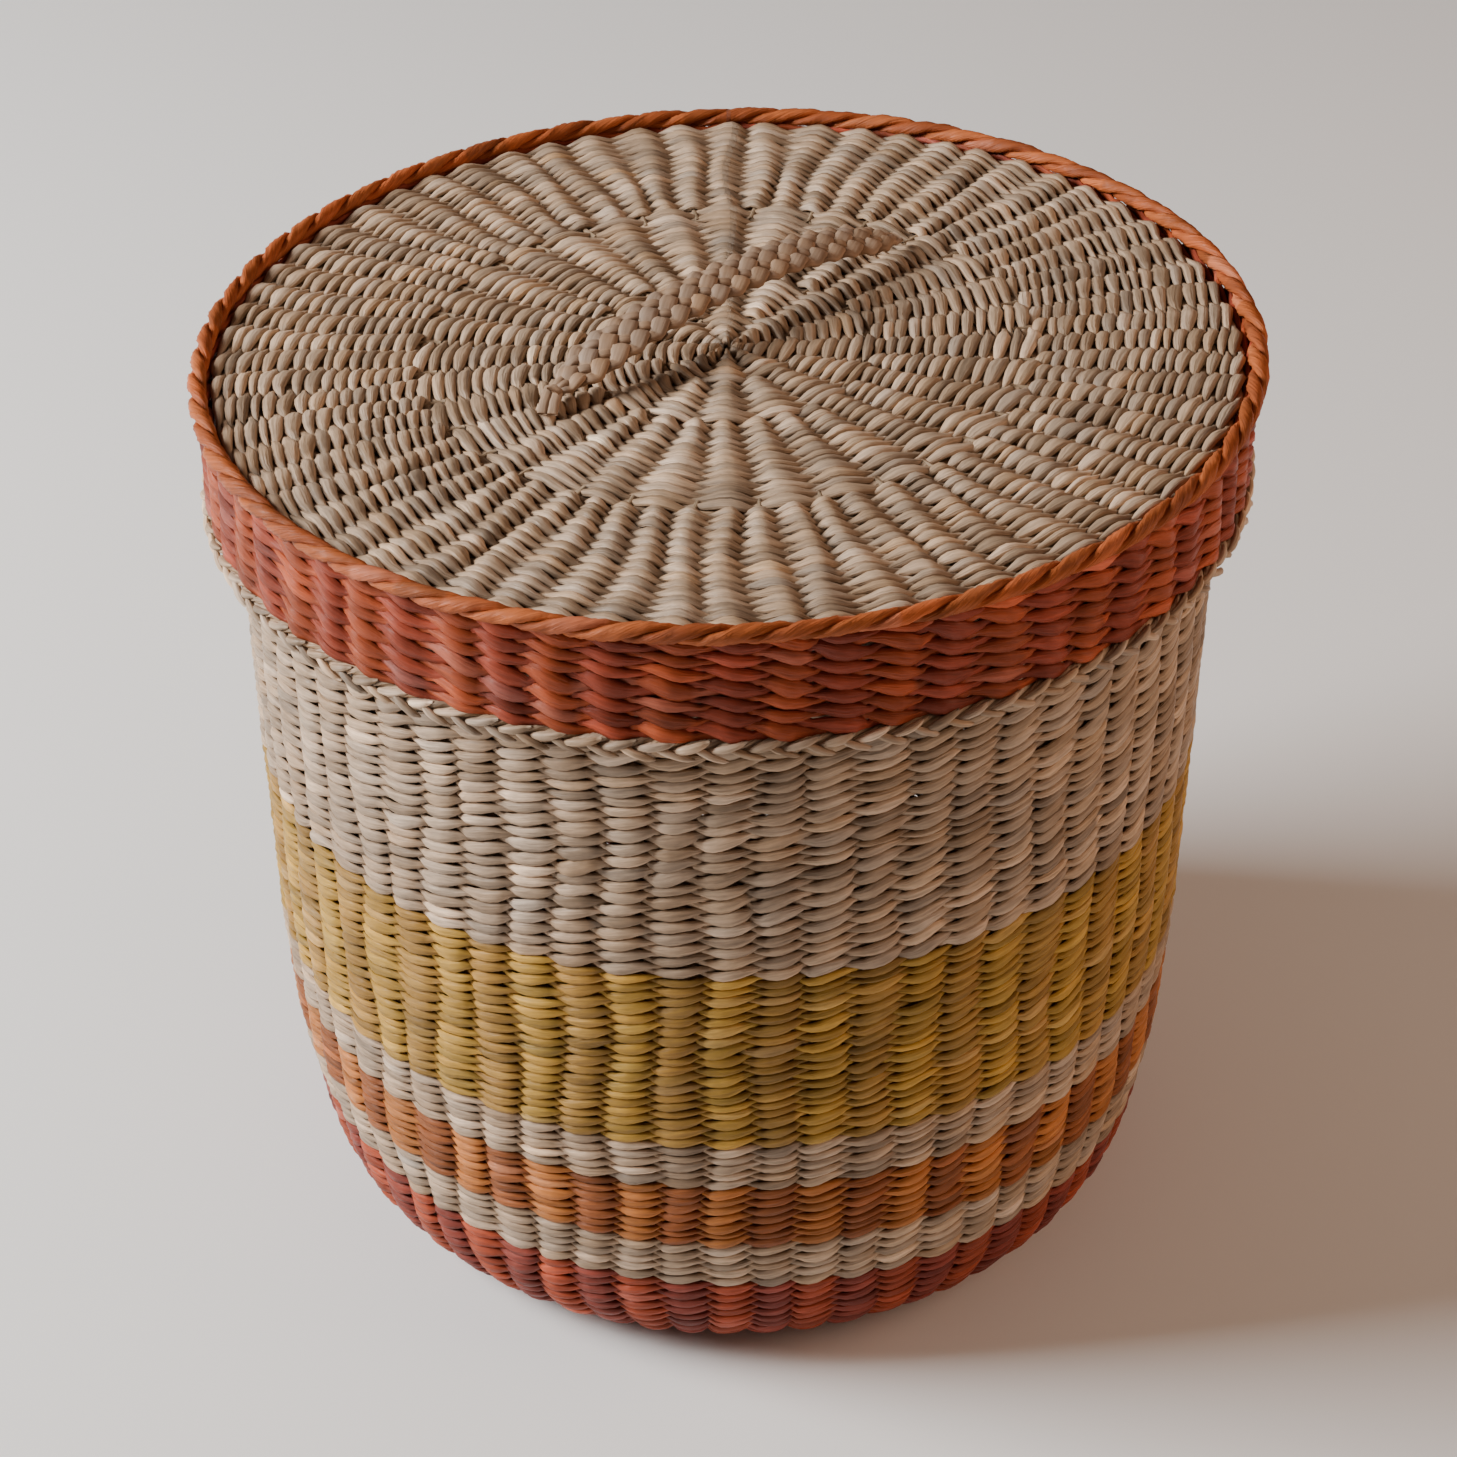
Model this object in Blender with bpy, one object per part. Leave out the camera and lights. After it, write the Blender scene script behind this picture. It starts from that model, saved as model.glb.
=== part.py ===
"""Lidded round basket, twined from seagrass round 64 stakes.

Every solid is modelled in metres, +Z up.  The origin lies on the axis of the basket, in the
plane that it stands on.  The basket and its lid are both twined: rows of two weft strands twist
round each other and enclose a radiating cane, the stake, at every crossing.  One row passes
outside and inside each stake, so a coloured band of weft is modelled as two skins, one on each
side of the stakes, which are joined between the stakes by short webs where the strands cross.
"""
import math

import bmesh
import bpy
from mathutils import Vector

# Driving dimensions, in metres.
STAKE_COUNT = 64
STAKE_WIDTH = 0.0038
STAKE_THICKNESS = 0.0024
WEFT_THICKNESS = 0.0018        # one skin of weft
SKIN_CLEARANCE = 0.0007        # between a stake and the skins, with room for their flat facets
FACE_GAP = 0.0003              # between two solids that touch

FOOT_RADIUS = 0.1165           # edge of the flat bottom
CORNER_RADIUS = 0.1450         # middle line of the wall where the rounded foot ends
CORNER_HEIGHT = 0.0437
WALL_KNOTS = ((0.1490, 0.0640), (0.1520, 0.1086), (0.1555, 0.2945))
BAND_HEIGHTS = (0.0437, 0.0640, 0.0902, 0.1086, 0.1775, 0.2945)

LID_HEIGHT = 0.3073            # middle plane of the lid's flat top
LID_SKIRT_RADIUS = 0.1653      # middle line of the lid's skirt
LID_SKIRT_TOP = 0.3035
LID_SKIRT_BOTTOM = 0.2733
LID_TOP_EDGE = 0.1606          # outer edge of the twined disc
LID_BEND = ((0.1612, 0.3073), (0.1641, 0.3062))    # where the stakes turn down into the skirt

ROPE_CENTRE = (0.1670, 0.3100)
ROPE_RADIUS = 0.0031
CHAIN_CENTRE = (0.1660, 0.2701)
CHAIN_HALF_SIZE = (0.0048, 0.0029)
RIM_CENTRE = (0.1557, 0.2991)
RIM_HALF_SIZE = (0.0042, 0.0042)

HANDLE_FRONT = (-0.0538, -0.0345)   # where the plait dives into the lid, in plan
HANDLE_BACK = (0.0561, 0.0636)
HANDLE_RISE = 0.0125           # of the plait's middle line above its ends
HANDLE_HALF_WIDTH = 0.0110
HANDLE_TIP_HALF_WIDTH = 0.0022
HANDLE_HALF_THICKNESS = 0.0021
HANDLE_TIP_CLEARANCE = 0.0012  # below the plait's ends, so it can rock
HANDLE_ARCH_POWER = 2.2        # two makes a parabola, and more a flatter top
HANDLE_TAPER = 0.42            # share of a half of the plait over which it widens
HANDLE_STATIONS = 18

TAIL_LENGTH = 0.030
TAIL_HALF_WIDTH = 0.0040
TAIL_HALF_THICKNESS = 0.0019

# How finely the solids are faceted.
SECTORS = 8                    # each sector of a skin starts with one web
FACETS_PER_SECTOR = 6
WEB_HALF_ANGLE = math.radians(0.9)
CORNER_STEPS = 3
RING_FACETS = 56
RING_SIDES = 8
HUB_RADIUS = 0.020
HUB_CROWDING = 0.3             # half width of a stake at the hub, as a share of their spacing
WEB_START_RADIUS = 0.080       # inside this radius the stakes leave no room for a web
SHARP_ANGLE = math.radians(40)

# The flat, rounded section of the plait and its tails, in half widths and half thicknesses.
STRAP_OUTLINE = ((1.0, 0.0), (0.8, 0.8), (0.0, 1.0), (-0.8, 0.8),
                 (-1.0, 0.0), (-0.8, -0.8), (0.0, -1.0), (0.8, -0.8))

STAKE_PITCH = 2 * math.pi / STAKE_COUNT
SKIN_INNER = STAKE_THICKNESS / 2 + SKIN_CLEARANCE
SKIN_OUTER = SKIN_INNER + WEFT_THICKNESS
SKIN_LAYERS = (-SKIN_OUTER, -SKIN_INNER, SKIN_INNER, SKIN_OUTER)
STAKE_LAYERS = (-STAKE_THICKNESS / 2, STAKE_THICKNESS / 2)
MIDDLE_LAYER = 1               # the cell between the two skins
LID_SURFACE = LID_HEIGHT + SKIN_OUTER
LID_UNDERSIDE = LID_HEIGHT - SKIN_OUTER

SEAGRASS = (0.46, 0.35, 0.25)
DYE_RED = (0.30, 0.07, 0.05)
DYE_AMBER = (0.45, 0.17, 0.05)
DYE_YELLOW = (0.38, 0.27, 0.09)
DYE_ORANGE = (0.48, 0.18, 0.07)
CANE = (0.50, 0.40, 0.28)


class Profile:
    """A wall's middle line in (radius, height), with straight stretches between its knots."""

    def __init__(self, knots):
        self.knots = [Vector(knot) for knot in knots]
        self.lengths = [0.0]
        for start, end in zip(self.knots, self.knots[1:]):
            self.lengths.append(self.lengths[-1] + (end - start).length)

    def direction(self, stretch):
        stretch = max(0, min(stretch, len(self.knots) - 2))
        return (self.knots[stretch + 1] - self.knots[stretch]).normalized()

    def stations(self, start, end):
        """Places along the line from start to end, with every knot between them."""
        between = [s for s in self.lengths if start + 1e-6 < s < end - 1e-6]
        return [start] + between + [end]

    def offset(self, place, distance):
        """The point at a place along the line, moved outwards square to the line.

        At a knot, and within a face gap's reach of it, outwards is halfway between the two
        stretches' own directions, so that neighbours on both sides of the knot stay parallel.
        """
        last = len(self.knots) - 2
        index = max([i for i, length in enumerate(self.lengths) if length < place - 1e-6] + [0])
        index = min(index, last)
        along = self.direction(index)
        point = self.knots[index] + (place - self.lengths[index]) * along
        mean = along
        for knot, length in enumerate(self.lengths):
            if abs(place - length) < 2 * FACE_GAP:
                mean = (self.direction(knot - 1) + self.direction(knot)).normalized()
        reach = distance / mean.dot(along)
        return point + reach * Vector((mean.y, -mean.x))

    def place_at_height(self, height):
        """The place along the line where the wall reaches a height."""
        for index, (start, end) in enumerate(zip(self.knots, self.knots[1:])):
            low, high = sorted((start.y, end.y))
            if high - low > 1e-6 and low - 1e-6 <= height <= high + 1e-6:
                share = (height - start.y) / (end.y - start.y)
                return self.lengths[index] + share * (end - start).length
        raise ValueError("the line does not reach this height")


def material(name, colour, roughness=0.6):
    made = bpy.data.materials.new(name)
    made.use_nodes = True
    shader = made.node_tree.nodes["Principled BSDF"]
    shader.inputs["Base Color"].default_value = (*colour, 1.0)
    shader.inputs["Roughness"].default_value = roughness
    shader.inputs["Metallic"].default_value = 0.0
    return made


def finish_object(name, bm, colour, parent, roughness=0.6):
    """Make a named object of a closed mesh, under its parent, with its own material."""
    bmesh.ops.recalc_face_normals(bm, faces=bm.faces)
    mesh = bpy.data.meshes.new(name)
    bm.to_mesh(mesh)
    bm.free()
    mesh.shade_smooth()
    mesh.set_sharp_from_angle(angle=SHARP_ANGLE)
    mesh.materials.append(material(name, colour, roughness))
    made = bpy.data.objects.new(name, mesh)
    bpy.context.scene.collection.objects.link(made)
    made.parent = parent
    made.matrix_parent_inverse = parent.matrix_basis.inverted()
    return made


def fill_cells(lines, stations, layers, point, filled):
    """One closed mesh of the filled cells in a grid that wraps round the axis.

    point(line, station, layer) gives a corner, and filled(line, station, layer) says whether
    the cell that starts at that corner is solid.  A face is made wherever a filled cell meets
    an empty one.
    """
    bm = bmesh.new()
    corners = {}

    def corner(line, station, layer):
        place = point(line % lines, station, layer)
        key = tuple(round(value, 7) for value in place)
        if key not in corners:
            corners[key] = bm.verts.new(place)
        return corners[key]

    def is_filled(line, station, layer):
        inside = 0 <= station < stations - 1 and 0 <= layer < layers - 1
        return inside and filled(line % lines, station, layer)

    def face(*places):
        vertices = []
        for place in places:
            vertex = corner(*place)
            if vertex not in vertices:
                vertices.append(vertex)
        if len(vertices) > 2:
            bm.faces.new(vertices)

    for line in range(lines):
        for s in range(stations - 1):
            for y in range(layers - 1):
                if not is_filled(line, s, y):
                    continue
                n = line + 1
                if not is_filled(line - 1, s, y):
                    face((line, s, y), (line, s + 1, y), (line, s + 1, y + 1), (line, s, y + 1))
                if not is_filled(n, s, y):
                    face((n, s, y), (n, s, y + 1), (n, s + 1, y + 1), (n, s + 1, y))
                if not is_filled(line, s - 1, y):
                    face((line, s, y), (line, s, y + 1), (n, s, y + 1), (n, s, y))
                if not is_filled(line, s + 1, y):
                    face((line, s + 1, y), (n, s + 1, y), (n, s + 1, y + 1), (line, s + 1, y + 1))
                if not is_filled(line, s, y - 1):
                    face((line, s, y), (n, s, y), (n, s + 1, y), (line, s + 1, y))
                if not is_filled(line, s, y + 1):
                    face((line, s, y + 1), (line, s + 1, y + 1), (n, s + 1, y + 1), (n, s, y + 1))
    return bm


def weft_angles():
    """Angles of the skins' vertical edges: a narrow web, then wide facets, in each sector."""
    angles = []
    for sector in range(SECTORS):
        web = (sector * STAKE_COUNT // SECTORS + 0.5) * STAKE_PITCH
        facet = (2 * math.pi / SECTORS - 2 * WEB_HALF_ANGLE) / FACETS_PER_SECTOR
        angles.append(web - WEB_HALF_ANGLE)
        angles += [web + WEB_HALF_ANGLE + i * facet for i in range(FACETS_PER_SECTOR)]
    return angles


def weft(name, profile, places, colour, parent):
    """Rows of weft between two places along a profile: two skins and their webs."""
    angles = weft_angles()
    per_sector = FACETS_PER_SECTOR + 1

    def point(line, station, layer):
        radius, height = profile.offset(places[station], SKIN_LAYERS[layer])
        if places[station] == 0:
            radius = 0.0
        return (radius * math.cos(angles[line]), radius * math.sin(angles[line]), height)

    def filled(line, station, layer):
        room = profile.offset(places[station], 0).x > WEB_START_RADIUS - 1e-6
        return layer != MIDDLE_LAYER or (line % per_sector == 0 and room)

    bm = fill_cells(len(angles), len(places), len(SKIN_LAYERS), point, filled)
    return finish_object(name, bm, colour, parent)


def stakes(name, profile, places, parent):
    """All stakes of one piece, joined where they cross at the centre."""
    lines = 2 * STAKE_COUNT
    crowded = HUB_CROWDING * STAKE_PITCH * HUB_RADIUS

    def point(line, station, layer):
        radius, height = profile.offset(places[station], STAKE_LAYERS[layer])
        if station == 0:
            radius = 0.0
        half = (0.0, crowded)[station] if station < 2 else STAKE_WIDTH / 2
        side = half if line % 2 else -half
        angle = (line // 2) * STAKE_PITCH
        across = Vector((-math.sin(angle), math.cos(angle), 0.0))
        return tuple(Vector((radius * math.cos(angle), radius * math.sin(angle), height))
                     + side * across)

    def filled(line, station, layer):
        return station == 0 or line % 2 == 0

    bm = fill_cells(lines, len(places), len(STAKE_LAYERS), point, filled)
    return finish_object(name, bm, CANE, parent)


def ring(name, centre, half_size, colour, parent):
    """A closed border round the axis, with an oval section."""
    def point(line, side):
        turn = 2 * math.pi * side / RING_SIDES
        radius = centre[0] + half_size[0] * math.cos(turn)
        height = centre[1] + half_size[1] * math.sin(turn)
        angle = 2 * math.pi * line / RING_FACETS
        return (radius * math.cos(angle), radius * math.sin(angle), height)

    bm = bmesh.new()
    rows = [[bm.verts.new(point(line, side)) for side in range(RING_SIDES)]
            for line in range(RING_FACETS)]
    for line in range(RING_FACETS):
        here, there = rows[line], rows[(line + 1) % RING_FACETS]
        for side in range(RING_SIDES):
            after = (side + 1) % RING_SIDES
            bm.faces.new((here[side], here[after], there[after], there[side]))
    return finish_object(name, bm, colour, parent)


def sweep(name, centres, across, half_widths, half_thicknesses, colour, parent):
    """A flat strap: a rounded flat section carried along a line of centres."""
    bm = bmesh.new()
    sections = []
    for index, centre in enumerate(centres):
        before = centres[max(index - 1, 0)]
        after = centres[min(index + 1, len(centres) - 1)]
        up = across.cross(after - before).normalized()
        if up.z < 0:
            up = -up
        sections.append([bm.verts.new(centre + u * half_widths[index] * across
                                      + v * half_thicknesses[index] * up)
                         for u, v in STRAP_OUTLINE])
    for here, there in zip(sections, sections[1:]):
        for side in range(len(STRAP_OUTLINE)):
            after = (side + 1) % len(STRAP_OUTLINE)
            bm.faces.new((here[side], here[after], there[after], there[side]))
    bm.faces.new(sections[0])
    bm.faces.new(sections[-1])
    return finish_object(name, bm, colour, parent)


def smooth_step(value):
    value = max(0.0, min(1.0, value))
    return value * value * (3 - 2 * value)


def make_basket(parent):
    """Base, wall bands and rim, twined on one set of stakes."""
    half_wall = SKIN_OUTER
    knots = [(0.0, half_wall), (HUB_RADIUS, half_wall), (WEB_START_RADIUS, half_wall),
             (FOOT_RADIUS, half_wall)]
    for step in range(1, CORNER_STEPS + 1):
        turn = math.pi / 2 * step / CORNER_STEPS
        knots.append((FOOT_RADIUS + (CORNER_RADIUS - FOOT_RADIUS) * math.sin(turn),
                      half_wall + (CORNER_HEIGHT - half_wall) * (1 - math.cos(turn))))
    wall = Profile(knots + list(WALL_KNOTS))
    hub, web_start, foot = wall.lengths[1:4]
    top = wall.lengths[-1]

    base_places = [0.0, web_start, foot - FACE_GAP]
    weft("base_weft", wall, base_places, SEAGRASS, parent)
    bands = (("wall_red_weft", DYE_RED), ("wall_lower_natural_weft", SEAGRASS),
             ("wall_amber_weft", DYE_AMBER), ("wall_middle_natural_weft", SEAGRASS),
             ("wall_yellow_weft", DYE_YELLOW), ("wall_upper_natural_weft", SEAGRASS))
    start = foot
    for (name, colour), height in zip(bands, BAND_HEIGHTS):
        end = wall.place_at_height(height)
        weft(name, wall, wall.stations(start, end - FACE_GAP), colour, parent)
        start = end
    stakes("basket_stakes", wall, [0.0, hub] + wall.stations(foot, top - FACE_GAP), parent)
    ring("rim_border", RIM_CENTRE, RIM_HALF_SIZE, SEAGRASS, parent)


def make_lid(parent):
    """The lid: twined disc, skirt, rope edge and chain border on a second set of stakes."""
    line = Profile([(0.0, LID_HEIGHT), (HUB_RADIUS, LID_HEIGHT), (WEB_START_RADIUS, LID_HEIGHT),
                    *LID_BEND, (LID_SKIRT_RADIUS, LID_SKIRT_TOP),
                    (LID_SKIRT_RADIUS, LID_SKIRT_BOTTOM)])
    hub, web_start, bend_start = line.lengths[1:4]
    skirt_start, skirt_end = line.lengths[5:7]
    disc = Profile([(0.0, LID_HEIGHT), (LID_TOP_EDGE, LID_HEIGHT)])

    weft("lid_top_weft", disc, [0.0, WEB_START_RADIUS, LID_TOP_EDGE], SEAGRASS, parent)
    skirt_places = [skirt_start + FACE_GAP, skirt_end]
    weft("lid_skirt_weft", line, skirt_places, DYE_ORANGE, parent)
    stakes("lid_stakes", line, [0.0, hub] + line.stations(bend_start, skirt_end), parent)
    ring("lid_border_rope", ROPE_CENTRE, (ROPE_RADIUS, ROPE_RADIUS), DYE_ORANGE, parent)
    ring("lid_chain_border", CHAIN_CENTRE, CHAIN_HALF_SIZE, SEAGRASS, parent)


def make_handle(lid, handle):
    """The flat plait over the lid, and its two tails under the lid."""
    base = LID_SURFACE + HANDLE_TIP_CLEARANCE + HANDLE_HALF_THICKNESS
    front = Vector((*HANDLE_FRONT, base))
    back = Vector((*HANDLE_BACK, base))
    along = (back - front).normalized()
    across = Vector((0.0, 0.0, 1.0)).cross(along)
    centres, half_widths, half_thicknesses = [], [], []
    for station in range(HANDLE_STATIONS + 1):
        share = station / HANDLE_STATIONS
        reach = 1 - abs(2 * share - 1)
        rise = HANDLE_RISE * (1 - (1 - reach) ** HANDLE_ARCH_POWER)
        centres.append(front.lerp(back, share) + Vector((0.0, 0.0, rise)))
        widening = smooth_step(reach / HANDLE_TAPER)
        half_widths.append(HANDLE_TIP_HALF_WIDTH
                           + (HANDLE_HALF_WIDTH - HANDLE_TIP_HALF_WIDTH) * widening)
        half_thicknesses.append(HANDLE_HALF_THICKNESS)
    sweep("handle_plait", centres, across, half_widths, half_thicknesses, SEAGRASS, handle)

    below = Vector((0.0, 0.0, LID_UNDERSIDE - FACE_GAP - TAIL_HALF_THICKNESS - base))
    for name, anchor, inward in (("handle_tail_front", front, along),
                                 ("handle_tail_back", back, -along)):
        line = [anchor + below + inward * TAIL_LENGTH * share for share in (0.0, 0.5, 1.0)]
        sweep(name, line, across, [TAIL_HALF_WIDTH] * 3, [TAIL_HALF_THICKNESS] * 3, SEAGRASS, lid)


def frame_empty(name, location, parent=None):
    made = bpy.data.objects.new(name, None)
    bpy.context.scene.collection.objects.link(made)
    made.location = location
    if parent:
        made.parent = parent
        made.matrix_parent_inverse = parent.matrix_basis.inverted()
    return made


def main():
    for item in list(bpy.data.objects):
        bpy.data.objects.remove(item, do_unlink=True)
    basket = frame_empty("basket", (0.0, 0.0, 0.0))
    lid = frame_empty("lid", (0.0, 0.0, 0.0))
    handle = frame_empty("handle", (*HANDLE_FRONT, LID_SURFACE))
    make_basket(basket)
    make_lid(lid)
    make_handle(lid, handle)


main()
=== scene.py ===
"""Looks of the lidded seagrass basket: every twined stitch, rope, chain and plait as geometry.

The basket and its lid are twined.  A row is two strands that change places between every two
stakes: where one is outside the stake, the other is inside.  A strand is a closed tube, wide
where it lies over a stake and narrow where it crosses its partner between two.
"""
import math

import bpy
import numpy as np
from mathutils import Matrix, Vector


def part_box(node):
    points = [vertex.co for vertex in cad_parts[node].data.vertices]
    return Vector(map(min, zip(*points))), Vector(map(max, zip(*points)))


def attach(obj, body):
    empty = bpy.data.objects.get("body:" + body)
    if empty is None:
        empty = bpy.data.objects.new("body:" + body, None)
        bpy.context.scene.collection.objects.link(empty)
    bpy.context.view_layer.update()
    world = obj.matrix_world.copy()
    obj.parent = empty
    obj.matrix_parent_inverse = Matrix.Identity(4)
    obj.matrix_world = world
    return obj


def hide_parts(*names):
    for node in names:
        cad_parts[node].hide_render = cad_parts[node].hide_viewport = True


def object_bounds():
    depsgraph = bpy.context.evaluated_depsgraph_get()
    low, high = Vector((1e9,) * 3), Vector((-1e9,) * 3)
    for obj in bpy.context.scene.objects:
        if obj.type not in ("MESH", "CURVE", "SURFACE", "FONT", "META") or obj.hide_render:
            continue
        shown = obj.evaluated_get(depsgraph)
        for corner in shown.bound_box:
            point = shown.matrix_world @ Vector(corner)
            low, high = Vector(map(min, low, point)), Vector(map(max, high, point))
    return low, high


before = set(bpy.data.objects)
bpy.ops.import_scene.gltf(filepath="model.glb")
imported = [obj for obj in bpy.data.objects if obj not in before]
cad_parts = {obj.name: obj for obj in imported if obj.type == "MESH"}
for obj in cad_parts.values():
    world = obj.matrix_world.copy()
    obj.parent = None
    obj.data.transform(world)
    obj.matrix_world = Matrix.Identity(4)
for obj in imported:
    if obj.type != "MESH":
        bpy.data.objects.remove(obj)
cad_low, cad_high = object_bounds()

TAU = 2 * math.pi
UP = np.array((0.0, 0.0, 1.0))
START_ANGLE = math.pi / 2      # stakes, stitches and links are counted round from +Y

# ---------------------------------------------------------------- sizes, in metres
STAKES = 64
STAKE_WIDTH = 0.0038
STAKE_THICKNESS = 0.0016
STITCH_DEPTH = 0.0023          # from the wall's middle to the middle of a strand over a stake
SKIRT_DEPTH = 0.0014
DISC_DEPTH = 0.0019
STRAND_HALF_THICKNESS = 0.00125

_base_low, _base_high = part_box("base_weft")
_red_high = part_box("wall_red_weft")[1]
_top_low, _top_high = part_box("lid_top_weft")
_skirt_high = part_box("lid_skirt_weft")[1]
_rope_low, _rope_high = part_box("lid_border_rope")
_chain_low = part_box("lid_chain_border")[0]
_rim_low, _rim_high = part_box("rim_border")
_plait_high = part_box("handle_plait")[1]

HALF_WALL = (_base_high.z - _base_low.z) / 2
FOOT_RADIUS = _base_high.x
CORNER_RADIUS = _red_high.x - HALF_WALL
CORNER_HEIGHT = _red_high.z
WALL_KNOTS = ((0.1490, 0.0640), (0.1518, 0.1086), (0.1535, 0.1775), (0.1555, 0.2950))
# Where the coloured bands of the wall end, from the red one up to the rim.
BAND_TOPS = (0.0434, 0.0640, 0.0902, 0.1086, 0.1775, 0.2945)
FOOT_OVERLAP = 0.001           # how far inside the foot's radius the red band starts

LID_HEIGHT = (_top_low.z + _top_high.z) / 2
LID_SURFACE = _top_high.z
DISC_REACH = 0.2               # the lid's line runs on past its edge
SKIRT_RADIUS = _skirt_high.x - HALF_WALL
SKIRT_LINE_TOP = _skirt_high.z + 0.006
SKIRT_ENDS = (0.0022, 0.0055)  # from the two ends of the skirt's line to its weft
CHAIN_FOOT = _chain_low.z
ROPE_RADIUS = (_rope_high.z - _rope_low.z) / 2
ROPE_CENTRE = (_rope_high.x - ROPE_RADIUS, (_rope_low.z + _rope_high.z) / 2)
RIM_RADIUS = (_rim_high.z - _rim_low.z) / 2
RIM_CENTRE = (_rim_high.x - RIM_RADIUS, (_rim_low.z + _rim_high.z) / 2)

# How the handmade basket leans: slope of a level row towards +X, at a few heights.
LEAN_HEIGHTS = (0.0, 0.020, 0.0434, 0.064, 0.090, 0.1086, 0.1775, 0.2700, 0.3100, 0.50)
LEAN_SLOPES = (0.0, -0.012, -0.026, -0.018, -0.004, 0.0, 0.005, 0.0230, 0.0258, 0.0258)


def lean(points):
    """The handmade lean, as a small rise of every point towards +X."""
    slope = np.interp(points[..., 2], LEAN_HEIGHTS, LEAN_SLOPES)
    points = points.copy()
    points[..., 2] += slope * points[..., 0]
    return points


def unit(vectors):
    """The same directions, each one metre long."""
    return vectors / np.linalg.norm(vectors, axis=-1, keepdims=True)


# ---------------------------------------------------------------- the lines that rows follow
class Line:
    """The middle line of a wall, in (radius, height), smoothed and measured along its length."""

    def __init__(self, knots, smoothing=0.006, step=0.0005):
        knots = np.array(knots, float)
        lengths = np.r_[0.0, np.cumsum(np.hypot(*np.diff(knots, axis=0).T))]
        self.length = lengths[-1]
        self.s = np.linspace(0.0, self.length, int(self.length / step) + 1)
        self.r = np.interp(self.s, lengths, knots[:, 0])
        self.z = np.interp(self.s, lengths, knots[:, 1])
        reach = int(3 * smoothing / step)
        weights = np.exp(-0.5 * (np.arange(-reach, reach + 1) * step / smoothing) ** 2)
        weights /= weights.sum()
        for values in (self.r, self.z):
            first, last = values[1] - values[0], values[-1] - values[-2]
            before = values[0] - first * np.arange(reach, 0, -1)
            after = values[-1] + last * np.arange(1, reach + 1)
            values[:] = np.convolve(np.r_[before, values, after], weights, "valid")
        dr, dz = np.gradient(self.r, self.s), np.gradient(self.z, self.s)
        size = np.hypot(dr, dz)
        self.dr, self.dz = dr / size, dz / size

    def at(self, s):
        """Radius and height at a place along the line."""
        return np.interp(s, self.s, self.r), np.interp(s, self.s, self.z)

    def along(self, s):
        """The line's direction at a place, as parts in radius and height."""
        dr, dz = np.interp(s, self.s, self.dr), np.interp(s, self.s, self.dz)
        size = np.hypot(dr, dz)
        return dr / size, dz / size

    def place_at_height(self, height):
        """The place beyond the foot where the line reaches a height."""
        start = int(np.argmin(np.abs(self.r - FOOT_RADIUS)))
        return float(np.interp(height, self.z[start:], self.s[start:]))

    def place_at_radius(self, radius):
        """The place where the line reaches a radius, before its widest point."""
        end = int(np.argmax(self.r))
        return float(np.interp(radius, self.r[:end], self.s[:end]))

    def points(self, angle, s, offset):
        """Points at an angle round the axis, a place along the line and an offset outwards."""
        r, z = self.at(s)
        dr, dz = self.along(s)
        radius, height = r + offset * dz, z - offset * dr
        return np.stack([radius * np.cos(angle), radius * np.sin(angle), height], -1)

    def normals(self, angle, s):
        """Directions out of the wall."""
        dr, dz = self.along(s)
        return np.stack([dz * np.cos(angle), dz * np.sin(angle), -dr], -1)

    def tangents(self, angle, s):
        """Directions along the line."""
        dr, dz = self.along(s)
        return np.stack([dr * np.cos(angle), dr * np.sin(angle), dz], -1)


def corner(steps=12):
    """The rounded foot, from the flat bottom to the wall."""
    turns = np.linspace(0.0, math.pi / 2, steps + 1)[1:]
    return [(FOOT_RADIUS + (CORNER_RADIUS - FOOT_RADIUS) * math.sin(turn),
             HALF_WALL + (CORNER_HEIGHT - HALF_WALL) * (1 - math.cos(turn))) for turn in turns]


WALL = Line([(0.0, HALF_WALL), (FOOT_RADIUS, HALF_WALL), *corner(), *WALL_KNOTS])
DISC = Line([(0.0, LID_HEIGHT), (DISC_REACH, LID_HEIGHT)])
SKIRT = Line([(SKIRT_RADIUS, SKIRT_LINE_TOP), (SKIRT_RADIUS, CHAIN_FOOT)])


# ---------------------------------------------------------------- strands as meshes
# A section is a ring of pairs: along a strand's first axis and along its second, each as a
# share of its half size that way.  The first axis of a stitch points out of the wall.
ROUND_SECTION = [(math.cos(TAU * i / 8), math.sin(TAU * i / 8)) for i in range(8)]
WEFT_SECTION = [(0.0, -1.0), (0.72, -0.70), (1.0, -0.22), (0.94, 0.26), (0.70, 0.72),
                (0.0, 1.0), (-0.90, 0.50), (-0.90, -0.50)]
RIBBON_SECTION = [(1.0, -0.45), (1.06, 0.0), (1.0, 0.45), (0.72, 0.86), (0.0, 1.0),
                  (-0.72, 0.86), (-1.0, 0.0), (-0.72, -0.86), (0.0, -1.0), (0.72, -0.86)]
DENT_LIMITS = (-1.6, 1.2)
FIBRE_OFFSET = 5.0             # strands take their fibres from places this far apart at most
OUTWARD_SAMPLE = 2000          # faces that are looked at to tell which way a piece is turned
MAP_MARGIN = 0.04              # free space beside each strip of the map, as a share of it


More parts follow.
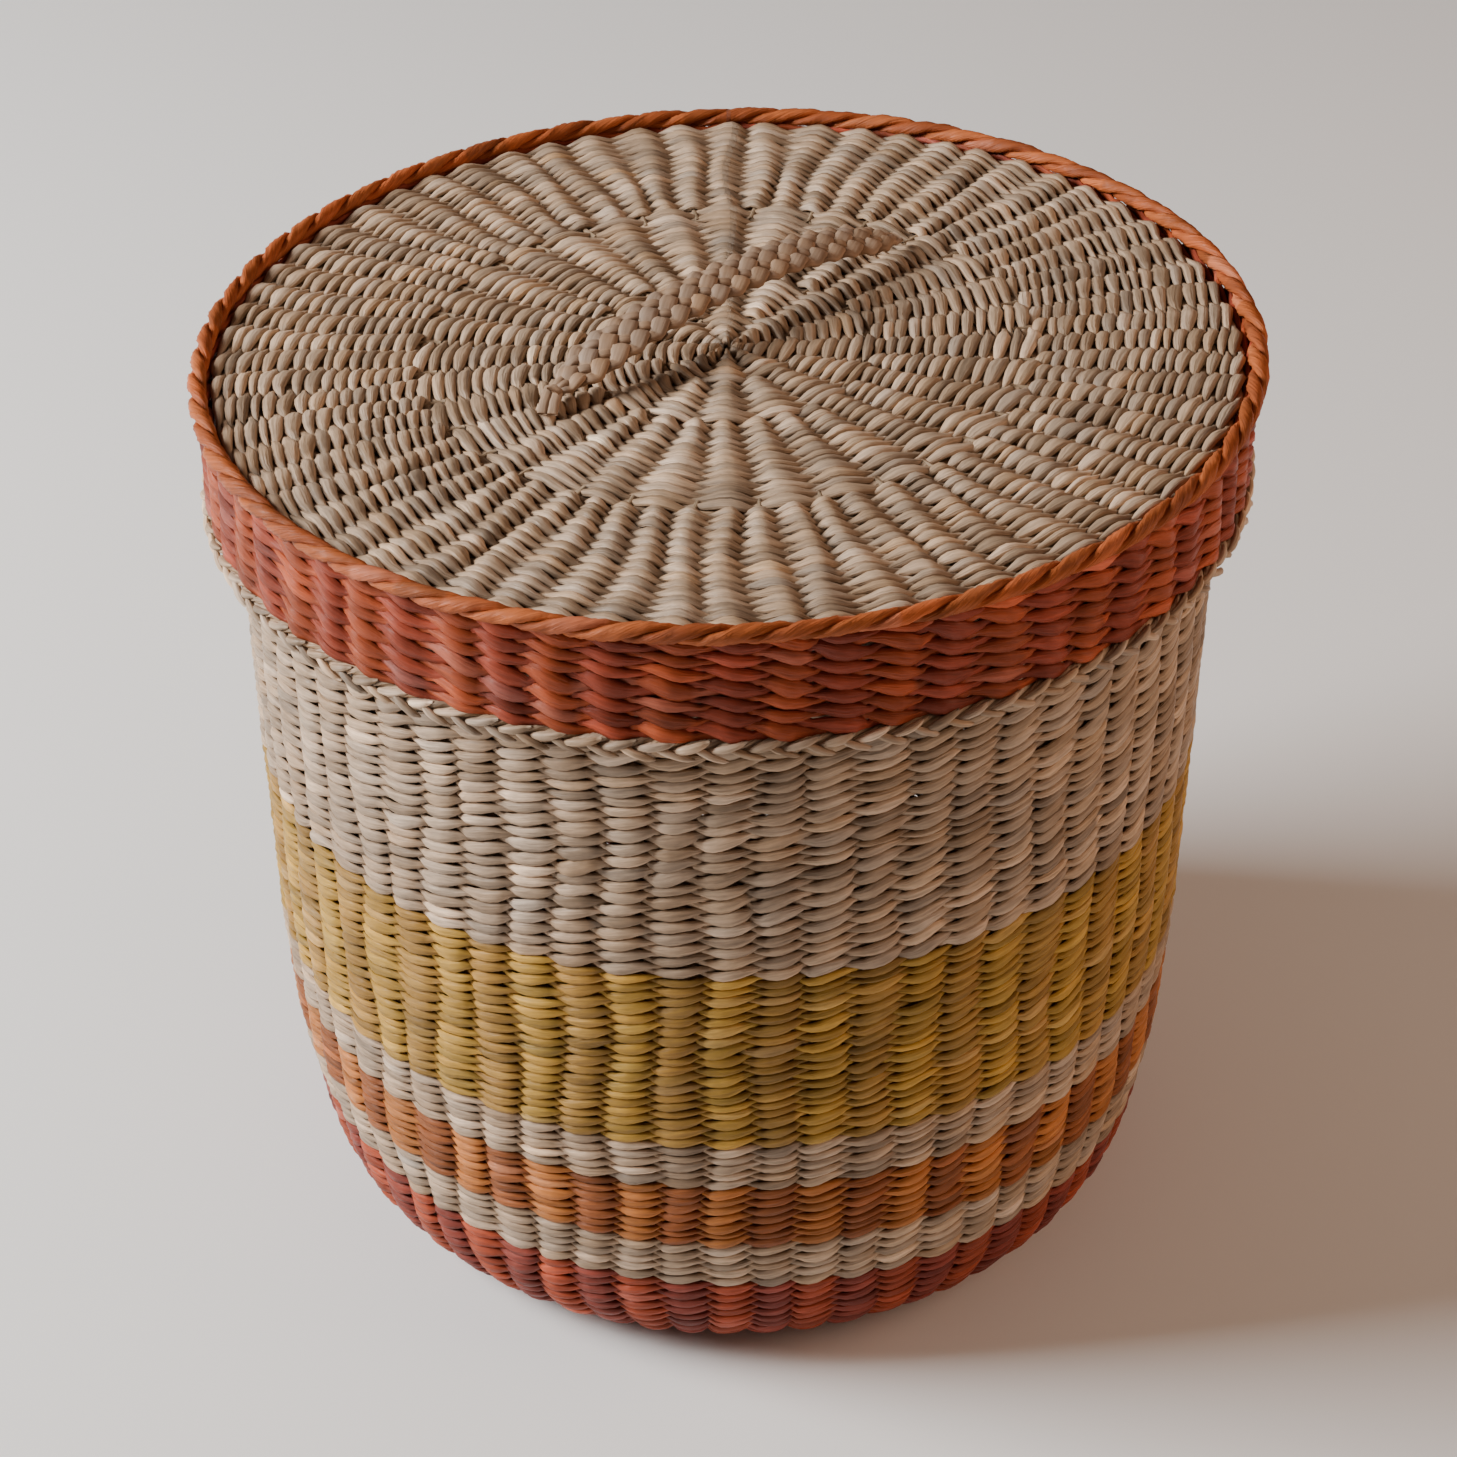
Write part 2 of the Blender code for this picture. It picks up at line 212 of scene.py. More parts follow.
def strand_piece(name, centres, first, second, half_first, half_second, colours, material,
                 closed=True, section=WEFT_SECTION, seed=0, crumple=0.07):
    """One piece of many strands.  Arrays hold a value for every strand and every station."""
    strands, stations = centres.shape[:2]
    shape = np.array(section)
    sides = len(shape)
    rng = np.random.default_rng(seed + 1000)
    arm = (shape[None, None, :, 0, None] * (half_first[..., None] * first)[:, :, None, :]
           + shape[None, None, :, 1, None] * (half_second[..., None] * second)[:, :, None, :])
    arm *= dented(rng, (strands, stations, sides, 1), crumple)
    vertices = lean(centres[:, :, None, :] + arm).reshape(-1, 3)
    quads, strand, station, side = tube_faces(strands, stations, sides, closed)
    faces = quads.tolist()
    if not closed:
        faces += end_faces(strands, stations, sides)

    mesh = bpy.data.meshes.new(name)
    mesh.from_pydata(vertices.tolist(), [], faces)
    if not outward(vertices, quads[:OUTWARD_SAMPLE], sides):
        mesh.flip_normals()
    mesh.shade_smooth()
    store_dye(mesh, colours, sides)
    store_fibre(mesh, centres, shape, half_second, rng)
    store_map(mesh, strands, stations, sides, strand, station, side)
    mesh.materials.append(material)
    return linked(name, mesh)


def linked(name, data):
    """A new object in the scene."""
    made = bpy.data.objects.new(name, data)
    bpy.context.scene.collection.objects.link(made)
    return made


def dented(rng, shape, crumple):
    """How much of its size a strand keeps at every point, dented by hand and by drying."""
    dents = rng.standard_normal(shape)
    dents = (dents + np.roll(dents, 1, 1)) / math.sqrt(2)
    return 1 + crumple * np.clip(dents, *DENT_LIMITS)


def tube_faces(strands, stations, sides, closed):
    """Quads of several tubes, each with the same number of stations and sides."""
    spans = stations if closed else stations - 1
    strand, station, side = np.meshgrid(np.arange(strands), np.arange(spans),
                                        np.arange(sides), indexing="ij")
    after, beside = (station + 1) % stations, (side + 1) % sides

    def vertex(at_station, at_side):
        return (strand * stations + at_station) * sides + at_side

    quads = np.stack([vertex(station, side), vertex(after, side),
                      vertex(after, beside), vertex(station, beside)], -1)
    return quads.reshape(-1, 4), strand.ravel(), station.ravel(), side.ravel()


def end_faces(strands, stations, sides):
    """The faces that close both ends of every open tube."""
    starts = np.arange(strands) * stations * sides
    lasts = starts + (stations - 1) * sides
    near = [[int(corner + i) for i in range(sides)][::-1] for corner in starts]
    far = [[int(corner + i) for i in range(sides)] for corner in lasts]
    return near + far


def outward(vertices, quads, sides):
    """Whether the given faces turn away from the middle of their own tubes."""
    corners = vertices[quads]
    normal = np.cross(corners[:, 1] - corners[:, 0], corners[:, 2] - corners[:, 0])
    ring = vertices.reshape(-1, sides, 3).mean(1)
    centre = ring[quads[:, 0] // sides]
    return float(np.sum(normal * (corners.mean(1) - centre))) > 0


def store_dye(mesh, colours, sides):
    """The colour of every strand at every station, under the name "dye"."""
    rgba = np.ones((*colours.shape[:2], sides, 4))
    rgba[..., :3] = colours[:, :, None, :]
    dye = mesh.color_attributes.new("dye", "FLOAT_COLOR", "POINT")
    dye.data.foreach_set("color", rgba.ravel())


def store_fibre(mesh, centres, shape, half_second, rng):
    """Places along and across every strand, in metres, under the name "fibre"."""
    strands, stations = centres.shape[:2]
    steps = np.linalg.norm(np.roll(centres, -1, 1) - centres, axis=-1)
    run = np.concatenate([np.zeros((strands, 1)), np.cumsum(steps[:, :-1], 1)], 1)
    offset = rng.uniform(0.0, FIBRE_OFFSET, (strands, 1, 1))
    width = np.median(half_second)
    fibre = np.zeros((strands, stations, len(shape), 3))
    fibre[..., 0] = run[:, :, None] + offset
    fibre[..., 1] = shape[None, None, :, 0] * width + offset
    fibre[..., 2] = shape[None, None, :, 1] * width - offset
    grain = mesh.attributes.new("fibre", "FLOAT_VECTOR", "POINT")
    grain.data.foreach_set("vector", fibre.ravel())


def store_map(mesh, strands, stations, sides, strand, station, side):
    """A map that lays the strands out as strips, one above the other, for baking."""
    uv = mesh.uv_layers.new(name="OFBake")
    height = 1.0 / strands
    low = (strand + MAP_MARGIN) * height
    step = (1 - 2 * MAP_MARGIN) * height / sides
    u0, u1 = station / stations, (station + 1) / stations
    v0, v1 = low + side * step, low + (side + 1) * step
    corners = np.stack([np.stack([u0, v0], -1), np.stack([u1, v0], -1),
                        np.stack([u1, v1], -1), np.stack([u0, v1], -1)], 1)
    flat = np.zeros((len(mesh.loops), 2))
    flat[: corners.size // 2] = corners.reshape(-1, 2)
    uv.data.foreach_set("uv", flat.ravel())


# ---------------------------------------------------------------- colours of the stitches
# What each strand reflects, as linear red, green and blue.  A row has two strands.
NATURAL = [(0.405, 0.286, 0.190), (0.345, 0.238, 0.154)]
YELLOW = [(0.385, 0.222, 0.041), (0.305, 0.168, 0.038)]
AMBER = [(0.390, 0.136, 0.034), (0.240, 0.074, 0.023)]
RED = [(0.290, 0.052, 0.022), (0.195, 0.038, 0.025)]
SKIRT_DYE = [(0.300, 0.060, 0.022), (0.250, 0.045, 0.022)]
ROPE_DYE = [(0.370, 0.098, 0.030), (0.330, 0.082, 0.026)]
PLAIT_DYE = [(0.320, 0.212, 0.138), (0.300, 0.196, 0.126)]
CANE_DYE = [(0.300, 0.210, 0.130), (0.260, 0.180, 0.110)]

SLOW_SHARE = 0.55              # how much of a dye's spread changes slowly along a row
FAST_SHARE = 0.75              # and how much of it from stitch to stitch
WARM_TINT = np.array((1.0, 0.0, -1.6))
PALE_GLINT_GAIN = 1.3                # a pale place reflects this much more: partly a paler strand, partly a painted glossy highlight
# painted glossy highlight: an even lift of red, green and blue on the pale places
PALE_GLINT_LIFT = 0.03
COLOUR_LIMITS = (0.004, 0.85)
DYE_REACH = 2.5                # stakes over which a row's colour changes


def vary(rng, colour, slow, fast, spread, warmth=0.025, pale=0.04):
    """A colour with slow and fast changes of brightness, warmth, and a few pale places: paler
    strands whose colour also holds a painted glossy highlight.
    """
    shape = fast.shape
    value = np.exp(spread * (SLOW_SHARE * slow + FAST_SHARE * fast))[..., None]
    warm = warmth * rng.standard_normal(shape)[..., None] * WARM_TINT
    made = np.asarray(colour) * value * (1 + warm)
    # Pale places: paler stitches, brightened and lifted towards white as a painted glossy
    # highlight.
    bright = (rng.random(shape) < pale)[..., None]
    made = np.where(bright, made * PALE_GLINT_GAIN + PALE_GLINT_LIFT, made)
    return np.clip(made, *COLOUR_LIMITS)


def stitch_colours(rng, rows, stakes, dyes, spread, pale):
    """Linear colours for every row, strand and stake."""
    made = [vary(rng, dye, smooth_noise(rng, rows, stakes, DYE_REACH),
                 rng.standard_normal((rows, stakes)), spread, pale=pale) for dye in dyes]
    return np.stack(made, 1)


def smooth_noise(rng, rows, columns, reach):
    """Noise that runs smoothly round a row, with a spread of about one."""
    raw = rng.standard_normal((rows, columns))
    weights = np.exp(-0.5 * (np.fft.fftfreq(columns, 1 / columns) / reach) ** 2)
    made = np.fft.ifft(np.fft.fft(raw, axis=1) * np.fft.fft(weights)[None], axis=1).real
    return made / max(made.std(), 1e-9)


def round_sample(values, x):
    """Values at each stake, read between stakes at x, round a closed row."""
    count = values.shape[-1]
    low = np.floor(x).astype(int) % count
    share = x - np.floor(x)
    share = share * share * (3 - 2 * share)
    return values[..., low] * (1 - share) + values[..., (low + 1) % count] * share


_PHASE = np.random.default_rng(7).uniform(0.0, TAU, STAKES)
WANDER = 0.13                  # how far a stake strays sideways, as a share of their spacing
WANDER_LENGTH = 0.075          # along the wall, from one stray to the next on the same side


def wander(stake, s):
    """How stakes, and the stitches on them, stray sideways, as an angle round the axis."""
    turn = TAU * s / WANDER_LENGTH
    made = (round_sample(np.cos(_PHASE), stake) * np.sin(turn)
            + round_sample(np.sin(_PHASE), stake) * np.cos(turn))
    return WANDER * made * TAU / STAKES


# ---------------------------------------------------------------- twined rows
STITCH_STEPS = 6               # stations of a strand from one stake to the next
STITCH_WIDTH = 1.12            # over a stake, as a share of the row's height
THROAT_WIDTH = 0.44            # where strands cross, as a share of the width over a stake
THROAT_THICKNESS = 0.85        # the same for the thickness
TIP_CLIMB = 0.29               # how far a stitch's ends lie off its row, as a share of the row
GAP_LEVEL = 0.26               # how far out strands cross between stakes, as a share of the depth
# How a stitch fills out towards its stake: below 1 it is blunt, above 1 it is pointed.
FACE_POWER = 0.6
BACK_POWER = 1.5
WIDTH_POWER = 1.05

# How uneven the handwork is: the spread of each measure, and the limits that it is held to.
ROW_REACH = 2.2                # stakes over which a row's height changes
ROW_LIMITS = (0.6, 1.6)
STITCH_SPREAD = 0.09
STITCH_LIMITS = (0.78, 1.30)
DEPTH_SPREAD = 0.07
DEPTH_LIMITS = (0.86, 1.08)
CLIMB_SPREAD = 0.16


def uneven_rows(rng, start, pitch, rows, stakes, unevenness):
    """The middle of every row at every stake, and the height of its stitch there."""
    tall = 1 + unevenness * smooth_noise(rng, rows, stakes, ROW_REACH)
    tall = np.clip(tall, *ROW_LIMITS)
    tall *= rows / tall.sum(0, keepdims=True)
    centre = (np.cumsum(tall, 0) - 0.5 * tall) * pitch + start
    own = 1 + STITCH_SPREAD * rng.standard_normal(tall.shape)
    return centre, tall * np.clip(own, *STITCH_LIMITS)


def level(turn):
    """How far out a strand is, as a share of its depth: 1 over a stake, -1 behind the next."""
    swing = np.cos(turn)
    size = np.abs(swing)
    over = GAP_LEVEL + (1 - GAP_LEVEL) * size ** FACE_POWER
    behind = GAP_LEVEL - (1 + GAP_LEVEL) * size ** BACK_POWER
    return np.where(swing > 0, over, behind)


def twined(name, line, start, end, rows, stakes, dyes, material, seed, rise=1.0,
           depth=STITCH_DEPTH, unevenness=0.15, spread=0.20, pale=0.04, parts=1):
    """Rows of twining between two places on a line.  rise is the way that stitches climb."""
    rng = np.random.default_rng(seed)
    pitch = (end - start) / rows
    x = np.arange(stakes * STITCH_STEPS) / STITCH_STEPS
    angle = x * TAU / stakes + START_ANGLE
    nearest = np.floor(x + 0.5).astype(int) % stakes

    centre, own = uneven_rows(rng, start, pitch, rows, stakes, unevenness)
    s_row, tall_row = round_sample(centre, x), round_sample(own, x)
    out_by = 1 + DEPTH_SPREAD * rng.standard_normal((2, rows, stakes))
    out_by = np.clip(out_by, *DEPTH_LIMITS)
    climb_by = 1 + CLIMB_SPREAD * rng.standard_normal((2, rows, stakes))
    colours = stitch_colours(rng, rows, stakes, dyes, spread, pale)

    made = []
    for strand in range(2):
        turn = math.pi * (x + strand)
        size = np.abs(np.cos(turn))
        climb = rise * TIP_CLIMB * pitch * np.sin(turn) * tall_row
        s = s_row + climb * climb_by[strand][:, nearest]
        offset = depth * level(turn) * out_by[strand][:, nearest]
        angles = angle + wander(x * STAKES / stakes, s)
        thick = STRAND_HALF_THICKNESS * (THROAT_THICKNESS + (1 - THROAT_THICKNESS) * size)
        wide = THROAT_WIDTH + (1 - THROAT_WIDTH) * size ** WIDTH_POWER
        made.append((line.points(angles, s, offset), line.normals(angles, s),
                     line.tangents(angles, s) * rise, np.broadcast_to(thick, s.shape),
                     0.5 * pitch * STITCH_WIDTH * tall_row * wide,
                     colours[:, strand][:, nearest]))
    return split_rows(name, made, rows, parts, material, seed)


def split_rows(name, made, rows, parts, material, seed):
    """Both strands of every row, as one piece or as several pieces above each other."""
    pieces = []
    for part in range(parts):
        mine = slice(rows * part // parts, rows * (part + 1) // parts)
        arrays = [np.concatenate([values[0][mine], values[1][mine]]) for values in zip(*made)]
        label = name if parts == 1 else f"{name}_{part + 1}"
        pieces.append(strand_piece(label, *arrays, material, seed=seed + 500 * part))
    return pieces


# ---------------------------------------------------------------- ropes round the edge
ROPE_ORBIT = 0.44              # from the rope's middle to a strand's, as a share of its radius
ROPE_FLATNESS = 1.45           # a strand's width over its thickness
ROPE_UNEVENNESS = 0.05
ROPE_SMOOTHING = 4             # stations on each side that share in a rope's thickness


def rope_thickness(rng, segments, steps):
    """A closed rope's uneven thickness, as a share of its own."""
    made = 1 + ROPE_UNEVENNESS * np.repeat(smooth_noise(rng, 1, segments, 1.0)[0], steps)
    around = np.r_[made[-ROPE_SMOOTHING:], made, made[:ROPE_SMOOTHING]]
    window = 2 * ROPE_SMOOTHING + 1
    return np.convolve(around, np.full(window, 1 / window), "valid")


def twisted_ring(name, centre, radius, strands, turns, dyes, material, seed, steps=8,
                 spread=0.14):
    """A rope round the axis: strands twisted round a circle in (radius, height)."""
    rng = np.random.default_rng(seed)
    segments = turns * strands
    count = segments * steps
    x = np.arange(count) / count
    angle = x * TAU + START_ANGLE
    out = np.stack([np.cos(angle), np.sin(angle), 0 * angle], -1)
    lines = []
    for strand in range(strands):
        turn = TAU * (turns * x + strand / strands)
        first = np.cos(turn)[:, None] * out + np.sin(turn)[:, None] * UP
        second = -np.sin(turn)[:, None] * out + np.cos(turn)[:, None] * UP
        wobble = rope_thickness(rng, segments, steps)
        away = (radius * ROPE_ORBIT * wobble)[:, None] * first
        middle = centre[0] * out + centre[1] * UP + away
        colour = vary(rng, dyes[strand % len(dyes)], smooth_noise(rng, 1, segments, 2.0)[0],
                      rng.standard_normal(segments), spread)
        thick = radius * (1 - ROPE_ORBIT) * wobble
        lines.append((middle, first, second, thick, thick * ROPE_FLATNESS,
                      np.repeat(colour, steps, 0)))
    arrays = [np.stack(values) for values in zip(*lines)]
    return strand_piece(name, *arrays, material, section=ROUND_SECTION, seed=seed)


# ---------------------------------------------------------------- materials
NOISE_RANGE = (0.30, 0.70)     # where most values of a noise lie
FIBRE_SCALE = (80.0, 1150.0, 1150.0)
BLOTCH_SCALE = (160.0, 260.0, 260.0)
BLOTCH_RANGE = (0.88, 1.10)
DULLER = 0.10                  # how far blotches move the roughness, up and down
GLOSSIER = 0.08
FIBRE_RELIEF = 0.0006          # the bump's height in metres


def nodes_of(name):
    """A new material, with its nodes, its links and its shader."""
    made = bpy.data.materials.new(name)
    made.use_nodes = True
    tree = made.node_tree
    return made, tree.nodes, tree.links, tree.nodes["Principled BSDF"]


def attribute(nodes, name):
    """A node that reads one of the attributes that every strand has."""
    made = nodes.new("ShaderNodeAttribute")
    made.attribute_name = name
    return made


def noise(nodes, links, place, scale, detail, roughness=0.5):
    """Noise along and across a strand, with a scale for each way."""
    mapping = nodes.new("ShaderNodeMapping")
    mapping.inputs["Scale"].default_value = scale
    links.new(place.outputs["Vector"], mapping.inputs["Vector"])
    made = nodes.new("ShaderNodeTexNoise")
    made.inputs["Scale"].default_value = 1.0
    made.inputs["Detail"].default_value = detail
    made.inputs["Roughness"].default_value = roughness
    links.new(mapping.outputs["Vector"], made.inputs["Vector"])
    return made.outputs["Fac"]


def remapped(nodes, links, value, low, high):
    """A noise's usual range, moved to low .. high."""
    made = nodes.new("ShaderNodeMapRange")
    made.inputs["From Min"].default_value = NOISE_RANGE[0]
    made.inputs["From Max"].default_value = NOISE_RANGE[1]
    made.inputs["To Min"].default_value = low
    made.inputs["To Max"].default_value = high
    links.new(value, made.inputs["Value"])
    return made.outputs["Result"]


def seagrass(name, roughness=0.50, bump=0.9, grain_and_groove_shade=0.30, specular=0.24):
    """Dried, dyed plant fibre: long fibres, with painted shade in the grooves of their bump,
    blotches of dye, dull sheen along the strand.
    """
    made, nodes, links, shader = nodes_of(name)
    dye, place = attribute(nodes, "dye"), attribute(nodes, "fibre")
    fibres = noise(nodes, links, place, FIBRE_SCALE, 3.0, 0.6)
    blotches = noise(nodes, links, place, BLOTCH_SCALE, 2.0)

    both = nodes.new("ShaderNodeMath")
    both.operation = "MULTIPLY"
    # Fibre grain in the colour, from the same noise as the bump: where the bump has its grooves
    # the colour is darker, which is painted shade.
    grain = remapped(nodes, links, fibres, 1.0 - grain_and_groove_shade, 1.0 + grain_and_groove_shade)
    links.new(grain, both.inputs[0])
    links.new(remapped(nodes, links, blotches, *BLOTCH_RANGE), both.inputs[1])
    tint = nodes.new("ShaderNodeVectorMath")
    tint.operation = "SCALE"
    links.new(dye.outputs["Color"], tint.inputs[0])
    links.new(both.outputs["Value"], tint.inputs["Scale"])
    links.new(tint.outputs["Vector"], shader.inputs["Base Color"])

    rough = remapped(nodes, links, blotches, roughness + DULLER, roughness - GLOSSIER)
    links.new(rough, shader.inputs["Roughness"])
    relief = nodes.new("ShaderNodeBump")
    relief.inputs["Strength"].default_value = bump
    relief.inputs["Distance"].default_value = FIBRE_RELIEF
    links.new(fibres, relief.inputs["Height"])
    links.new(relief.outputs["Normal"], shader.inputs["Normal"])
    shader.inputs["Specular IOR Level"].default_value = specular
    return made


# ---------------------------------------------------------------- stakes
# Where stakes start, as distances from the centre: every eighth one, then every fourth, ...
STAKE_STARTS = ((8, 0.004), (4, 0.021), (2, 0.044), (1, 0.092))
STAKE_TAPER = 0.02             # length over which a stake widens
STAKE_TIP = 0.45               # its width at the start, as a share of the full one


def canes(name, line, end, material, seed, count=30):
    """The stakes of one piece, as flat canes along the line."""
    rng = np.random.default_rng(seed)
    lines = []
    for index in range(STAKES):
        start = next(start for every, start in STAKE_STARTS if index % every == 0)
        s = np.linspace(start, end, count)
        angle = index * TAU / STAKES + START_ANGLE + wander(np.full(count, float(index)), s)
        taper = np.clip((s - start) / STAKE_TAPER, STAKE_TIP, 1.0)
        across = np.stack([-np.sin(angle), np.cos(angle), 0 * angle], -1)
        colour = np.broadcast_to(CANE_DYE[rng.integers(0, len(CANE_DYE))], (count, 3))
        lines.append((line.points(angle, s, 0 * s), line.normals(angle, s), across,
                      0.5 * STAKE_THICKNESS * np.ones(count), 0.5 * STAKE_WIDTH * taper, colour))
    arrays = [np.stack(values) for values in zip(*lines)]
    return strand_piece(name, *arrays, material, closed=False, section=ROUND_SECTION, seed=seed)


# ---------------------------------------------------------------- the chain under the lid
CHAIN_LINKS = 100
CHAIN_RADIUS = SKIRT_RADIUS + 0.0026
# For each row of the chain: height above its foot, climb, half height of a link, and seed.
CHAIN_ROWS = ((0.0042, 0.0016, 0.0013, 53), (0.0019, -0.0026, 0.0012, 54))
CORE_HEIGHT = 0.0036
CORE_RADIUS = 0.0024
LINK_REACH = 0.52              # half a link's length, as a share of the links' spacing
LINK_POINT = 0.93              # how far a link narrows: at 1 its ends are sharp
LINK_BULGE = 0.0016            # how far its middle stands out beyond its ends
LINK_HALF_THICKNESS = 0.0013


def beads(name, height, climb, half_height, phase, material, seed, stations=9):
    """A row of short slanting stitches round the edge, pointed at both ends."""
    rng = np.random.default_rng(seed)
    pitch = TAU / CHAIN_LINKS
    t = np.linspace(-1.0, 1.0, stations)
    swell = np.sqrt(np.clip(1 - LINK_POINT * t * t, 0.0, 1.0))
    slow = smooth_noise(rng, 1, CHAIN_LINKS, 3.0)[0]
    # About a third of the links are pale places: paler strands with a painted glossy highlight.
    colours = vary(rng, NATURAL[0], slow, rng.standard_normal(CHAIN_LINKS), 0.25, pale=0.3)
    lines = []
    for link in range(CHAIN_LINKS):
        reach = LINK_REACH * pitch * (1 + 0.08 * rng.standard_normal())
        angle = (link + phase) * pitch + START_ANGLE + reach * t
        radius = CHAIN_RADIUS + LINK_BULGE * (swell - 1) + 0.0002 * rng.standard_normal()
        out = np.stack([np.cos(angle), np.sin(angle), 0 * angle], -1)
        centre = radius[:, None] * out
        centre[:, 2] = height + climb * t * (1 + 0.12 * rng.standard_normal())
        along = unit(np.gradient(centre, axis=0))
        second = unit(np.cross(out, along))
        size = half_height * (1 + 0.10 * rng.standard_normal())
        lines.append((centre, out, second, LINK_HALF_THICKNESS * swell, size * swell,
                      np.broadcast_to(colours[link], (stations, 3))))
    arrays = [np.stack(values) for values in zip(*lines)]
    return strand_piece(name, *arrays, material, closed=False, seed=seed)


# ---------------------------------------------------------------- the braided handle
HANDLE_FRONT = np.array((-0.0538, -0.0345, 0.0))
HANDLE_BACK = np.array((0.0561, 0.0636, 0.0))
HANDLE_FOOT = LID_SURFACE + 0.0020
HANDLE_RISE = _plait_high.z - HANDLE_FOOT - 0.0030     # strands cross above the middle line
ARCH_POWER = 2.2               # at 2 the arch is a parabola, above that it is flatter on top
PLAIT_TILT = math.radians(13.0)    # the strap's near edge hangs lower than its far edge
PLAIT_TAPER = 0.22             # length of a widening end, as a share of half the strap
# Swing, half width and half thickness of a strand: at the ends, and what the middle adds.
PLAIT_SIZES = ((0.0012, 0.0050), (0.0015, 0.0008), (0.0009, 0.0001))
TAIL_SIZES = ((0.0018, 0.0), (0.0014, 0.0), (0.0008, 0.0))
TAIL_LENGTH = 0.030
BRAID_STEPS = 44               # stations of a strand in one period of the plait
EDGE_TURN = 0.97               # at 1 a strand turns at the strap's edge with a sharp corner
BLUNTNESS = 0.6                # below 1 a strand stays over or under for longer
LEAD = 0.25                    # how much higher strands going one way lie
LEAD_WIDTH = 0.28              # and how much wider they are


def widen(share):
    """From 0 at both ends of the strap to 1 along its middle."""
    reach = np.clip((1 - np.abs(2 * share - 1)) / PLAIT_TAPER, 0.0, 1.0)
    return reach * reach * (3 - 2 * reach)


def braid(name, path, across, sizes, period, strands, material, seed):
    """A flat over-one, under-one plait along a path, with a unit vector across it."""
    rng = np.random.default_rng(seed)
    run = np.r_[0.0, np.cumsum(np.linalg.norm(np.diff(path, axis=0), axis=1))]
    t = np.linspace(0.0, run[-1], int(run[-1] / period * BRAID_STEPS))
    share = t / run[-1]
    middle = np.stack([np.interp(t, run, path[:, i]) for i in range(3)], -1)
    forward = unit(np.gradient(middle, axis=0))
    up = unit(np.cross(forward, across))
    up *= np.sign(up[:, 2:3])
    swing, wide, thick = [ends + more * widen(share) for ends, more in sizes]
    lines = []
    for strand in range(strands):
        turn = TAU * (t / period + strand / strands)
        side = np.arcsin(EDGE_TURN * np.cos(turn)) / math.asin(EDGE_TURN)
        crossing = np.clip(np.sin(turn) / math.sin(math.pi / strands), -1.0, 1.0)
        wave = -np.cos(strands * turn) * crossing
        leading = -np.tanh(3 * np.sin(turn))
        over = np.sign(wave) * np.abs(wave) ** BLUNTNESS + LEAD * leading
        centre = middle + (swing * side)[:, None] * across + (1.05 * thick * over)[:, None] * up
        along = unit(np.gradient(centre, axis=0))
        second = unit(np.cross(up, along))
        outer = np.cross(along, second)
        ribbon = wide * (1 + LEAD_WIDTH * leading)
        block = ((t / period + strand / strands) * (strands - 1)).astype(int)
        blocks = block.max() + 1
        colour = vary(rng, PLAIT_DYE[strand % len(PLAIT_DYE)], np.zeros(blocks),
                      rng.standard_normal(blocks), 0.11, warmth=0.03, pale=0.0)
        lines.append((centre, outer, second, thick, ribbon, colour[block]))
    arrays = [np.stack(values) for values in zip(*lines)]
    return strand_piece(name, *arrays, material, closed=False, section=RIBBON_SECTION,
                        seed=seed, crumple=0.05)


def handle_path(count=80):
    """The arch of the plait's middle line from its front end to its back end."""
    share = np.linspace(0.0, 1.0, count)
    path = HANDLE_FRONT + (HANDLE_BACK - HANDLE_FRONT) * share[:, None]
    path[:, 2] = HANDLE_FOOT + HANDLE_RISE * (1 - np.abs(2 * share - 1) ** ARCH_POWER)
    return path


# The two strands that dive into the lid, in metres and as a direction seen from above.
DIVE_AWAY = (-0.2, -1.0, 0.0)
DIVE_LENGTH = 0.0105
DIVE_OVERLAP = 0.003           # how far they start inside the plait's end
DIVE_SPACING = 0.0032
DIVE_HEIGHT = 0.0022           # above the lid at the start
DIVE_DEPTH = 0.0032
DIVE_HALF_THICKNESS = 0.0010
DIVE_HALF_WIDTH = 0.0017


def diving_strands(material, stations=12):
    """Two strands side by side that leave the plait's front end and dive into the lid."""
    t = np.linspace(0.0, 1.0, stations)
    away = unit(np.array(DIVE_AWAY))
    aside = np.cross(UP, away)
    lines = []
    for side in (-0.5, 0.5):
        forward = away * (DIVE_LENGTH * t[:, None] - DIVE_OVERLAP)
        centre = HANDLE_FRONT + forward + DIVE_SPACING * side * aside
        centre[:, 2] = LID_SURFACE + DIVE_HEIGHT - DIVE_DEPTH * t ** 3
        along = unit(np.gradient(centre, axis=0))
        second = np.broadcast_to(aside, along.shape)
        lines.append((centre, np.cross(along, second), second,
                      np.full(stations, DIVE_HALF_THICKNESS), np.full(stations, DIVE_HALF_WIDTH),
                      np.full((stations, 3), PLAIT_DYE[0])))
    arrays = [np.stack(values) for values in zip(*lines)]
    return strand_piece("diving_strands", *arrays, material, closed=False,
                        section=RIBBON_SECTION, seed=64, crumple=0.04)


# ---------------------------------------------------------------- build
# Rings of a disc: where one starts and ends, its rows, and its stakes.
INNER_RINGS = ((0.0022, 0.0222, 5, 8), (0.0222, 0.0466, 6, 16))
BASE_SPLIT = 0.0950            # where the outer rings of the base and of the lid meet
LID_SPLIT = 0.0985
LID_RINGS_END = 0.1625


def place(piece, body, slot_name, *nodes):
    """What a piece rides on, and the CAD nodes that it replaces; slot_name is not used."""
    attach(piece, body)
    if nodes:
        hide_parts(*nodes)


